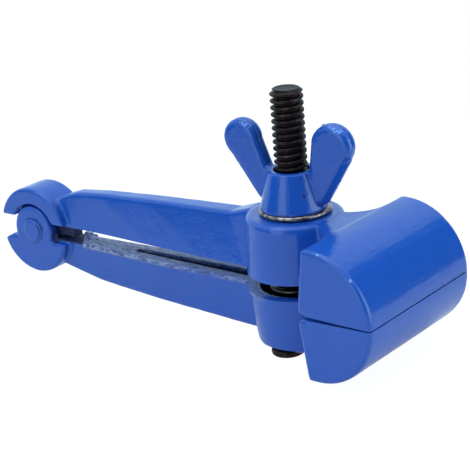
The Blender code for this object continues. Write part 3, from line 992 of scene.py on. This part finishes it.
@dataclass
class Arm(Casting):
    """An arm with its boss and jaw. The side is 1 above the closing plane and -1 below it."""

    side: int = 1
    jaw_reach: float = 33.45 * MM
    jaw_back: float = 15.9 * MM
    jaw_width: float = 41.0 * MM
    corner_round: float = 0.8 * MM
    inner_level: float = 2.1 * MM
    inner_ends: Lengths = mm(-75.3, 14.0)
    inner_draw: float = 1.1 * MM
    nose_gap: float = 0.15 * MM
    back_gap: float = 0.45 * MM
    grip_back: float = 2.6 * MM
    cutter_margin: float = 3.0 * MM
    cutter_depth: float = 5.0 * MM
    pad: float = 1.4 * MM
    lug_half: float = 1.6 * MM
    lug_clear: float = 0.05 * MM
    lug_low: Place = over_closing(-76.3, -1.6, -1.2)
    lug_high: Place = over_closing(-70.2, 1.6, 3.0)
    crumbs: tuple[Blob, ...] = ()

    def padding(self) -> list[bpy.types.Object]:
        """Fill the jaw's lower edge past the closing plane, and hang the lug under the hood.

        Returns:
            The slab, and on the upper arm the lug.
        """
        low = (self.jaw_back, -self.jaw_width / 2, CLOSING_LEVEL - self.pad)
        high = (self.jaw_reach, self.jaw_width / 2, CLOSING_LEVEL + self.pad)
        slab = Bench.box("slab", low, high)
        Bench.modify(slab, "BEVEL", width=self.corner_round, segments=3)
        if self.side < 0:
            return [slab]
        return [slab, Bench.box("lug", self.lug_low, self.lug_high)]

    def carve(self, piece: bpy.types.Object) -> None:
        """Draw the inner face out past its level, which keeps its edges sharp when it is cut back.

        Args:
            piece: The arm.
        """
        level = CLOSING_LEVEL + self.side * self.inner_level
        rise = {"value": (0, 0, -self.side * self.inner_draw)}
        Bench.edit(
            piece,
            lambda: bpy.ops.mesh.extrude_region_move(TRANSFORM_OT_translate=rise),
            lambda face: abs(face.center.z - level) < 0.02 * MM and abs(face.normal.z) > 0.99,
        )

    def inner_spans(self) -> list[tuple[float, float, float, float]]:
        """List where the inner face is cut back, which is all round the lug on the upper arm.

        Returns:
            The ends of each cut along the arm and across it.
        """
        heel, toe = self.inner_ends
        wide = self.jaw_width / 2
        if self.side < 0:
            return [(heel, toe, -wide, wide)]
        front, _, _ = self.lug_high
        edge = self.lug_half + self.lug_clear
        return [(front, toe, -wide, wide), (heel, front, -wide, -edge), (heel, front, edge, wide)]

    def trim(self, piece: bpy.types.Object) -> None:
        """Cut the grip face, which gapes a little more at its back than at the nose.

        Args:
            piece: The arm.
        """
        margin = self.cutter_margin
        ends = sorted((0.0, self.side * self.inner_level))
        for heel, toe, right, left in self.inner_spans():
            low, high = (heel, right, CLOSING_LEVEL + ends[0]), (toe, left, CLOSING_LEVEL + ends[1])
            Bench.combine(piece, Bench.box("inner_cutter", low, high), "DIFFERENCE")
        low = (self.jaw_back - self.grip_back, -self.jaw_width / 2 - margin, -self.cutter_depth)
        high = (self.jaw_reach + margin, self.jaw_width / 2 + margin, 0)
        cutter = Bench.box("grip_cutter", low, high)
        if self.side < 0:
            cutter.scale.z = -1
        run = self.jaw_reach - self.jaw_back
        tilt = math.atan((self.back_gap - self.nose_gap) / run)
        cutter.rotation_euler.y = self.side * tilt
        rise = self.nose_gap + self.jaw_reach * math.tan(tilt)
        cutter.location.z = CLOSING_LEVEL + self.side * rise
        Bench.settle(cutter)
        Bench.face_out(cutter)
        Bench.combine(piece, cutter, "DIFFERENCE")
        Bench.join(piece, [self.lump(crumb) for crumb in self.crumbs])


@dataclass
class HingeRivet(Part):
    """The rivet through the knuckle, with paint drawn round the foot of each head."""

    shank_radius: float = 2.0 * MM
    head_radius: float = 2.78 * MM
    skirt_radius: float = 3.25 * MM
    cheek_level: float = 4.80 * MM
    crown_level: float = 5.38 * MM
    segments: int = 64

    def stations(self) -> list[tuple[float, float]]:
        """List one half of the rivet, from the middle of its shank to its crown.

        Returns:
            Pairs of radius and distance from the middle.
        """
        foot, crown = self.cheek_level, self.crown_level
        return [
            (self.shank_radius, foot - 0.65 * MM),
            (self.head_radius, foot - 0.60 * MM),
            (self.head_radius, foot - 0.05 * MM),
            (self.skirt_radius, foot + 0.01 * MM),
            (self.skirt_radius - 0.18 * MM, foot + 0.07 * MM),
            (self.head_radius + 0.06 * MM, foot + 0.15 * MM),
            (self.head_radius, foot + 0.24 * MM),
            (self.head_radius - 0.05 * MM, crown - 0.17 * MM),
            (self.head_radius - 0.19 * MM, crown - 0.06 * MM),
            (self.head_radius - 0.42 * MM, crown - 0.01 * MM),
            (self.head_radius - 0.80 * MM, crown),
        ]

    def shape(self) -> bpy.types.Object:
        """Turn the rivet and lay it along the hinge.

        Returns:
            The bare piece.
        """
        half = self.stations()
        whole = [(radius, -level) for radius, level in reversed(half)] + half
        piece = Bench.turn("knuckle_rivet", whole, self.segments)
        piece.rotation_euler.x = math.radians(90)
        piece.location = (-HINGE_REACH, 0, CLOSING_LEVEL)
        Bench.settle(piece)
        return piece


@dataclass
class ClampBolt(Part):
    """The black bolt: a coarse rolled thread, a plain shank and a cross head."""

    slot: str = "black_steel"
    crease: float = 38.0
    radius: float = 3.85 * MM
    root_radius: float = 2.98 * MM
    shank_radius: float = 3.70 * MM
    pitch: float = 1.5875 * MM
    top: float = CLOSING_LEVEL + 45.3 * MM
    thread_foot: float = CLOSING_LEVEL + 1.0 * MM
    chamfer: float = 0.95 * MM
    head_height: float = 1.7 * MM
    head_reach: float = 10.0 * MM
    segments: int = 72
    # Share of the pitch and share of the thread's depth, up one flank to the crest
    flank: tuple[tuple[float, float], ...] = (
        (0.00, 0.00),
        (0.08, 0.03),
        (0.15, 0.22),
        (0.20, 0.47),
        (0.27, 0.73),
        (0.35, 0.90),
        (0.43, 0.98),
        (0.50, 1.00),
    )

    def thread(self) -> bpy.types.Object:
        """Wind one turn's profile up the bolt, and close the winding at both ends.

        Returns:
            A rod that is threaded all over and longer than the bolt.
        """
        turns = math.ceil((self.top - self.thread_foot) / self.pitch) + 4
        foot = self.thread_foot - 2 * self.pitch
        depth = self.radius - self.root_radius
        profile = self.flank + tuple((1.0 - along, share) for along, share in reversed(self.flank[:-1]))
        points = [
            (self.root_radius + depth * share, 0, foot + self.pitch * along) for along, share in profile
        ]
        rod = Bench.sketch("thread", points, [(index, index + 1) for index in range(len(points) - 1)], [])
        winding = {"axis": "Z", "screw_offset": self.pitch, "iterations": turns, "use_merge_vertices": False}
        Bench.modify(rod, "SCREW", steps=self.segments, render_steps=self.segments, **winding)
        Bench.edit(rod, self.close_ends)
        return rod

    def close_ends(self) -> None:
        """Merge the turns, and draw each open end together to a point on the axis."""
        bpy.ops.mesh.remove_doubles(threshold=WELD)
        bpy.ops.mesh.select_all(action="DESELECT")
        bpy.ops.mesh.select_mode(type="EDGE")
        bpy.ops.mesh.select_non_manifold(extend=False, use_wire=False, use_multi_face=False)
        bpy.ops.mesh.extrude_edges_move()
        bpy.ops.mesh.edge_collapse()
        bpy.ops.mesh.select_all(action="SELECT")
        bpy.ops.mesh.normals_make_consistent(inside=False)

    def blank(self) -> bpy.types.Object:
        """Turn the space that the thread keeps to: chamfered above, running out below.

        Returns:
            The closed envelope.
        """
        full, end = self.radius + 0.02 * MM, self.radius - self.chamfer
        cup = 0.10 * MM
        stations = [
            (self.root_radius - 0.1 * MM, self.thread_foot),
            (full, self.thread_foot + 1.2 * self.pitch),
            (full, self.top - 0.80 * self.chamfer),
            (end + 0.18 * MM, self.top - 0.10 * MM),
            (end + 0.03 * MM, self.top - 0.02 * MM),
            (end - 0.12 * MM, self.top),
            (end - 0.35 * MM, self.top - 0.03 * MM),
            (end - 0.75 * MM, self.top - cup),
            (0.4 * MM, self.top - 1.3 * cup),
        ]
        return Bench.turn("blank", stations, self.segments + 17)

    def shank(self) -> bpy.types.Object:
        """Turn the plain shank between the head and the thread."""
        stations = [
            (self.shank_radius, self.head_height - 0.2 * MM),
            (self.shank_radius, self.thread_foot - 0.3 * MM),
            (self.root_radius - 0.04 * MM, self.thread_foot + 0.6 * MM),
            (self.root_radius - 0.06 * MM, self.thread_foot + 2.0 * MM),
        ]
        return Bench.turn("shank", stations, self.segments + 5)

    def head(self) -> bpy.types.Object:
        """Draw a disc out both ways along the jaws into the cross head, and round its edges.

        Returns:
            The cross head.
        """
        stations = [(self.radius, 0), (self.radius, self.head_height)]
        head = Bench.turn("head", stations, self.segments)
        reach = self.head_reach - self.radius
        for vertex in head.data.vertices:
            vertex.co.y += reach if vertex.co.y > WELD else -reach
        sharp = {"limit_method": "ANGLE", "angle_limit": math.radians(50)}
        Bench.modify(head, "BEVEL", width=0.60 * MM, segments=3, **sharp)
        return head

    def shape(self) -> bpy.types.Object:
        """Trim the threaded rod, and join it to the shank and the head.

        Returns:
            The bare piece.
        """
        piece = self.thread()
        piece.name = piece.data.name = "threaded_bolt"
        Bench.combine(piece, self.blank(), "INTERSECT")
        Bench.combine(piece, self.shank(), "UNION")
        Bench.combine(piece, self.head(), "UNION")
        return piece


@dataclass
class OpeningSpring(Part):
    """The spring that opens the jaws, one wire from pocket to pocket."""

    slot: str = "spring_steel"
    crease: float = 50.0
    upper_body: str = "upper_jaw"
    stretch: float = 5.5 * MM
    wire_radius: float = 0.92 * MM
    coil_radius: float = 5.7 * MM
    # Towards the knuckle, to which the bolt leans when the jaws open
    lead: float = -0.55 * MM
    reach: float = 6.9 * MM
    turns: int = 5
    end_pitch: float = 2.5 * MM
    points_a_turn: int = 28

    def route(self) -> list[Vector]:
        """List the wire's middle line, with its end turns closer than the rest.

        Returns:
            The points from the lower pocket to the upper one.
        """
        pitch = (2 * self.reach - 2 * self.end_pitch) / (self.turns - 2)
        points = []
        for step in range(self.turns * self.points_a_turn + 1):
            turn = step / self.points_a_turn
            first, last = min(turn, 1), max(turn - self.turns + 1, 0)
            level = CLOSING_LEVEL - self.reach + (first + last) * self.end_pitch
            level += (turn - first - last) * pitch
            angle = 2 * math.pi * turn
            across = self.coil_radius * math.sin(angle)
            points.append(Vector((self.lead + self.coil_radius * math.cos(angle), across, level)))
        return points

    def shape(self) -> bpy.types.Object:
        """Wind the spring.

        Returns:
            The bare piece.
        """
        route = self.route()
        curve = bpy.data.curves.new("wire", "CURVE")
        curve.dimensions = "3D"
        curve.bevel_depth = self.wire_radius
        curve.bevel_resolution = 4
        curve.use_fill_caps = True
        spline = curve.splines.new("POLY")
        spline.points.add(len(route) - 1)
        for point, place in zip(spline.points, route):
            point.co = (*place, 1)
        Bench.pick(Bench.add("opening_coil", curve))
        bpy.ops.object.convert(target="MESH")
        piece = Bench.named("opening_coil")
        Bench.edit(piece, self.close)
        return piece

    def hang(self, piece: bpy.types.Object) -> None:
        """Put the piece's place into its mesh; it rides on no body."""
        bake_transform(piece)

    @staticmethod
    def close() -> None:
        """Merge the wire's caps with its skin."""
        bpy.ops.mesh.remove_doubles(threshold=WELD)
        bpy.ops.mesh.normals_make_consistent(inside=False)


@dataclass
class PlainWasher(Part):
    """The stamped washer, with its rim tumbled round."""

    slot: str = "bright_steel"
    radius: float = 8.50 * MM
    hole_radius: float = 4.35 * MM
    level: float = CLOSING_LEVEL + 16.1 * MM
    thickness: float = 1.1 * MM
    slip: Place = (0.22 * MM, 0.17 * MM, 0.0)
    segments: int = 96

    def shape(self) -> bpy.types.Object:
        """Stamp the washer from a disc.

        Returns:
            The bare piece.
        """
        low, high = self.level, self.level + self.thickness
        rim = self.radius
        middle, half = (low + high) / 2, self.thickness / 2
        stations = []
        for step in range(13):
            angle = math.radians(-90 + 15 * step)
            stations.append((rim - half + half * math.cos(angle), middle + half * math.sin(angle)))
        piece = Bench.turn("plain_washer", stations, self.segments)
        inner, below, above = self.hole_radius, low - 1.0 * MM, high + 1.0 * MM
        punch = Bench.turn("punch", [(inner, below), (inner, above)], self.segments - 8)
        Bench.combine(piece, punch, "DIFFERENCE")
        sharp = {"limit_method": "ANGLE", "angle_limit": math.radians(60)}
        Bench.modify(piece, "BEVEL", width=0.10 * MM, segments=2, **sharp)
        piece.location = self.slip
        Bench.settle(piece)
        return piece


@dataclass
class WingNut(Casting):
    """The cast wing nut, faced off flat underneath and bored."""

    grain: float = 0.20 * MM
    softening: int = 5
    unevenness: float = 0.06 * MM
    lumps: float = 2.2 * MM
    wing_half: float = 2.1 * MM
    edge_round: float = 1.9 * MM
    # Millimetres of reach along the wings and of level over the closing plane, round each wing's outer root
    gussets: tuple[tuple[tuple[float, float], ...], ...] = (
        ((11.3, 32.7), (3.5, 18.0), (8.75, 18.0), (16.45, 30.65)),
        ((-12.4, 32.8), (-16.30, 30.25), (-8.10, 18.0), (-3.5, 18.0)),
    )
    foot: float = CLOSING_LEVEL + 17.3 * MM
    foot_radius: float = 7.84 * MM
    bore_radius: float = 4.12 * MM

    def padding(self) -> list[bpy.types.Object]:
        """Thicken the foot downwards and each wing outwards at its root.

        Returns:
            The disc under the foot, and the two gussets.
        """
        radius = self.foot_radius
        stations = [(radius, self.foot - 1.2 * MM), (radius - 0.12 * MM, self.foot + 0.5 * MM)]
        disc = Bench.turn("disc", stations, 96)
        return [disc] + [self.gusset(outline) for outline in self.gussets]

    def gusset(self, outline: Iterable[tuple[float, float]]) -> bpy.types.Object:
        """Thicken an upright outline both ways, round its edges and turn it with the nut.

        Args:
            outline: Pairs of reach and level over the closing plane, in millimetres.

        Returns:
            The gusset.
        """
        points = [(reach * MM, -self.wing_half, CLOSING_LEVEL + level * MM) for reach, level in outline]
        piece = Bench.sketch("gusset", points, [], [tuple(range(len(points)))])
        through = {"value": (0, 2 * self.wing_half, 0)}
        Bench.edit(piece, lambda: bpy.ops.mesh.extrude_region_move(TRANSFORM_OT_translate=through))
        Bench.face_out(piece)
        Bench.modify(piece, "BEVEL", width=self.edge_round, segments=5, limit_method="ANGLE")
        piece.rotation_euler.z = NUT_TURN
        Bench.settle(piece)
        return piece

    def trim(self, piece: bpy.types.Object) -> None:
        """Face off the foot and bore the nut with one stepped cutter.

        Args:
            piece: The nut.
        """
        wide, deep, high = 2 * self.foot_radius, 5.0 * MM, 14.0 * MM
        stations = [
            (wide, self.foot - deep),
            (wide, self.foot),
            (self.bore_radius, self.foot),
            (self.bore_radius, self.foot + high),
        ]
        Bench.combine(piece, Bench.turn("facing_tool", stations, 64), "DIFFERENCE")


@dataclass(frozen=True)
class Opening:
    """A dark opening in the tent of light, by azimuth and elevation in degrees.

    Where its depth is below 0 it is a panel brighter than the tent.
    """

    azimuths: tuple[float, float]
    elevations: tuple[float, float]
    depth: float = 0.95
    soft: float = 5.0

    def mark(self, azimuth: Signal, elevation: Signal) -> Signal:
        """Mark the opening.

        Args:
            azimuth: The direction's azimuth in degrees, from -180 to 180.
            elevation: The direction's elevation in degrees.

        Returns:
            1 inside the opening and 0 outside it.
        """
        across, up = (
            angle.span((low - self.soft, low + self.soft, high - self.soft, high + self.soft))
            for angle, (low, high) in ((azimuth, self.azimuths), (elevation, self.elevations))
        )
        return across * up


@dataclass
class Studio:
    """A white table under soft light, and the camera."""

    azimuth: float = 39.545
    elevation: float = 19.548
    roll: float = -4.794
    place: Place = (0.21822, -0.28638, 0.15613)
    lens: float = 126.79
    floor_size: float = 0.36
    white: Colour = (0.76, 0.76, 0.76)
    daylight: Colour = (0.74, 0.98, 1.08)
    tent: float = 1.05
    openings: tuple[Opening, ...] = (
        Opening((44.0, 76.0), (-20.0, 41.0), soft=6.0),
        Opening((-77.0, -1.0), (-20.0, 40.0), depth=0.92),
        Opening((-158.0, -112.0), (-30.0, 14.0)),
        Opening((3.0, 44.0), (-30.0, 30.0), depth=-1.9, soft=4.0),
        Opening((-110.0, -80.0), (-10.0, 28.0), depth=-0.9, soft=4.0),
        Opening((-130.0, -90.0), (50.0, 66.0), depth=-5.0, soft=6.0),
    )
    floor_glow: float = 1.15
    floor_share: float = 0.25
    floor_share_seen: float = 0.58
    lamp_place: Place = (-0.10, 0.25, 1.10)
    lamp_size: float = 0.90
    lamp_power: float = 2.5

    def build(self) -> None:
        """Set the table, the room, the lamp and the camera."""
        self.table()
        self.room()
        self.lamp()
        self.camera()
        bpy.context.scene.view_settings.view_transform = "Standard"

    def table(self) -> None:
        """Lay the white table, which the camera sees as white wherever it isn't in shade."""
        Bench.clear()
        bpy.ops.mesh.primitive_plane_add(size=self.floor_size, location=(-0.03, 0.0, 0.0))
        floor = Bench.named("studio_floor")
        made = bpy.data.materials.new("white_table")
        graph = Graph(made)
        seen = graph.signal("ShaderNodeLightPath", output="Is Camera Ray")
        matt = graph.signal("ShaderNodeBsdfDiffuse", inputs={"Color": (*self.white, 1.0)})
        lift = graph.signal("ShaderNodeEmission", inputs={"Color": (1, 1, 1, 1), "Strength": self.floor_glow})
        share = self.floor_share + seen * self.floor_share_seen
        whole = graph.signal("ShaderNodeMixShader", inputs={0: share, 1: matt, 2: lift})
        graph.node("ShaderNodeOutputMaterial", inputs={"Surface": whole})
        floor.data.materials.append(made)
        floor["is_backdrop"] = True

    def room(self) -> None:
        """Light the room: white to the camera, and else a pale tent with dark openings."""
        world = bpy.data.worlds.new("studio")
        bpy.context.scene.world = world
        graph = Graph(world)
        x, y, z = graph.axes(graph.signal("ShaderNodeTexCoord", output="Generated"))
        azimuth = y.math("ARCTAN2", x) * (180.0 / math.pi)
        elevation = z.math("ARCSINE") * (180.0 / math.pi)
        tent = self.tent * (1.0 + 0.0 * elevation)
        for opening in self.openings:
            tent = tent * (1.0 - opening.depth * opening.mark(azimuth, elevation))
        seen = graph.signal("ShaderNodeLightPath", output="Is Camera Ray")
        level = tent * (1.0 - seen) + seen
        colour = graph.blend(seen, self.daylight, (1.0, 1.0, 1.0))
        back = graph.signal("ShaderNodeBackground", inputs={"Color": colour, "Strength": level})
        graph.node("ShaderNodeOutputWorld", inputs={"Surface": back})

    def lamp(self) -> None:
        """Hang one square soft box, facing the vise."""
        light = bpy.data.lights.new("over_light", "AREA")
        light.size = self.lamp_size
        light.energy = self.lamp_power
        lamp = Bench.add("over_light", light)
        lamp.location = self.lamp_place
        lamp.rotation_euler = Vector(self.lamp_place).to_track_quat("Z", "Y").to_euler()

    def camera(self) -> None:
        """Stand the camera where the photograph was taken from."""
        lens = bpy.data.cameras.new("camera")
        lens.lens = self.lens
        lens.clip_start = 0.01
        camera = Bench.add("camera", lens)
        turn = Matrix.Rotation(math.radians(self.azimuth), 4, "Z")
        tilt = Matrix.Rotation(math.radians(90 - self.elevation), 4, "X")
        roll = Matrix.Rotation(math.radians(self.roll), 4, "Z")
        camera.matrix_world = Matrix.Translation(self.place) @ turn @ tilt @ roll
        bpy.context.scene.camera = camera


@dataclass
class HandVise:
    """The whole vise, in the order in which it goes together."""

    crumbs: tuple[Blob, ...] = (
        Blob.over(-70.8, 3.6, -1.95, 0.85),
        Blob.over(-69.6, 3.9, -2.00, 0.70),
        Blob.over(-68.9, 2.1, -1.95, 0.75),
        Blob.over(-67.7, 3.4, -2.00, 0.65),
        Blob.over(-67.4, 0.2, -1.95, 0.60),
        Blob.over(-66.3, -1.6, -1.95, 0.60),
        Blob.over(-65.3, 1.4, -1.95, 0.50),
        Blob.over(-64.9, -3.0, -1.95, 0.50),
    )
    # Runs of paint on the front wing's edge, then round the hub's rim
    nut_blobs: tuple[Blob, ...] = (
        Blob.wing(12.30, 0.0, 24.60, 0.55),
        Blob.wing(11.05, 0.0, 22.70, 0.50),
        Blob.wing(9.20, 0.0, 37.05, 0.62),
        Blob.wing(7.90, 0.0, 35.95, 0.58),
        Blob.over(-5.2, -2.0, 26.1, 0.60),
        Blob.over(-4.2, -3.3, 26.2, 0.50),
        Blob.over(-5.6, -1.2, 26.4, 0.70),
        Blob.over(-2.9, -4.1, 26.1, 0.40),
        Blob.over(4.3, -2.7, 26.1, 0.45),
        Blob.over(5.0, 0.9, 26.4, 0.60),
    )
    # Dark crazed paint to the right of the rivet head, which also paints the head's shadow there.
    lower_spots: tuple[Spot, ...] = (Spot.over(-81.2, -4.8, 0.7, 3.3, SpotKind.CRAZE),)
    nut_spots: tuple[Spot, ...] = (
        Spot.over(5.70, -3.65, 21.35, 0.50),
        Spot.over(-3.3, -5.3, 25.2, 0.25),
        # Painted highlights on the wings' rounded tops.
        Spot.wing(-10.6, 1.5, 36.4, 1.00, SpotKind.SCUFF),
        Spot.wing(-9.7, 1.2, 35.6, 0.80, SpotKind.SCUFF),
        Spot.wing(12.8, 1.4, 36.9, 1.00, SpotKind.SCUFF),
        Spot.wing(14.0, 1.3, 36.5, 0.90, SpotKind.SCUFF),
        Spot.wing(11.5, 1.4, 37.1, 0.70, SpotKind.SCUFF),
        Spot.wing(15.8, 0.9, 34.7, 0.30, SpotKind.SCUFF),
    )
    jaw_spots: tuple[Spot, ...] = (
        # Painted highlights on the jaw's near edge and face.
        Spot.over(20.6, -20.3, 15.8, 0.70, SpotKind.CHIP),
        Spot.over(29.1, -20.3, 11.2, 0.75, SpotKind.CHIP),
        Spot.over(28.6, -20.3, 11.8, 0.40, SpotKind.CHIP),
        Spot.over(33.3, 5.1, 0.7, 0.35),
        Spot.over(33.3, 9.0, 0.5, 0.30),
        Spot.over(33.3, -6.0, 0.4, 0.25),
        Spot.over(33.3, 2.6, 0.3, 0.30),
        Spot.over(33.3, 13.6, 0.3, 0.40),
        Spot.over(33.3, 16.1, 0.3, 0.30),
        Spot.over(33.3, 17.4, 0.4, 0.35),
    )

    def parts(self) -> list[Part]:
        """List every part.

        Returns:
            The parts, which are still to be built.
        """
        lower = Enamel("blue_enamel_lower", spots=self.lower_spots, wrinkled=True)
        upper = Enamel("blue_enamel_upper", spots=self.jaw_spots)
        grainy = Enamel("blue_enamel_nut", spots=self.nut_spots, peel_height=0.026 * MM, peel_grain=0.45 * MM)
        return [
            Arm("lower_arm", "lower_jaw", lower, crumbs=self.crumbs, side=-1, inner_level=1.7 * MM),
            Arm("upper_arm", "upper_jaw", upper),
            HingeRivet("hinge_rivet", "lower_jaw", Enamel("blue_enamel_rivet")),
            ClampBolt("clamp_bolt", "bolt", BlackOxide("black_oxide")),
            OpeningSpring("opening_spring", "lower_jaw", SpringWire("drawn_wire")),
            PlainWasher("washer", "washer", BrightSteel("bright_steel")),
            WingNut("wing_nut", "nut", grainy, blobs=self.nut_blobs),
        ]


def plain_box(box: Iterable[Iterable[float]]) -> list[list[float]]:
    """Write a box's two corners as plain lists."""
    return [[float(number) for number in corner] for corner in box]


def main(cad_box: list[list[float]]) -> None:
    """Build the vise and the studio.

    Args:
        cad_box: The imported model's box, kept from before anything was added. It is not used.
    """
    logging.basicConfig(level=logging.INFO, format="%(message)s")
    for part in HandVise().parts():
        piece = part.build()
        LOG.info("%s: %d faces", piece.name, len(piece.data.polygons))
    Studio().build()


if __name__ == "__main__":
    main(plain_box(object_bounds()))
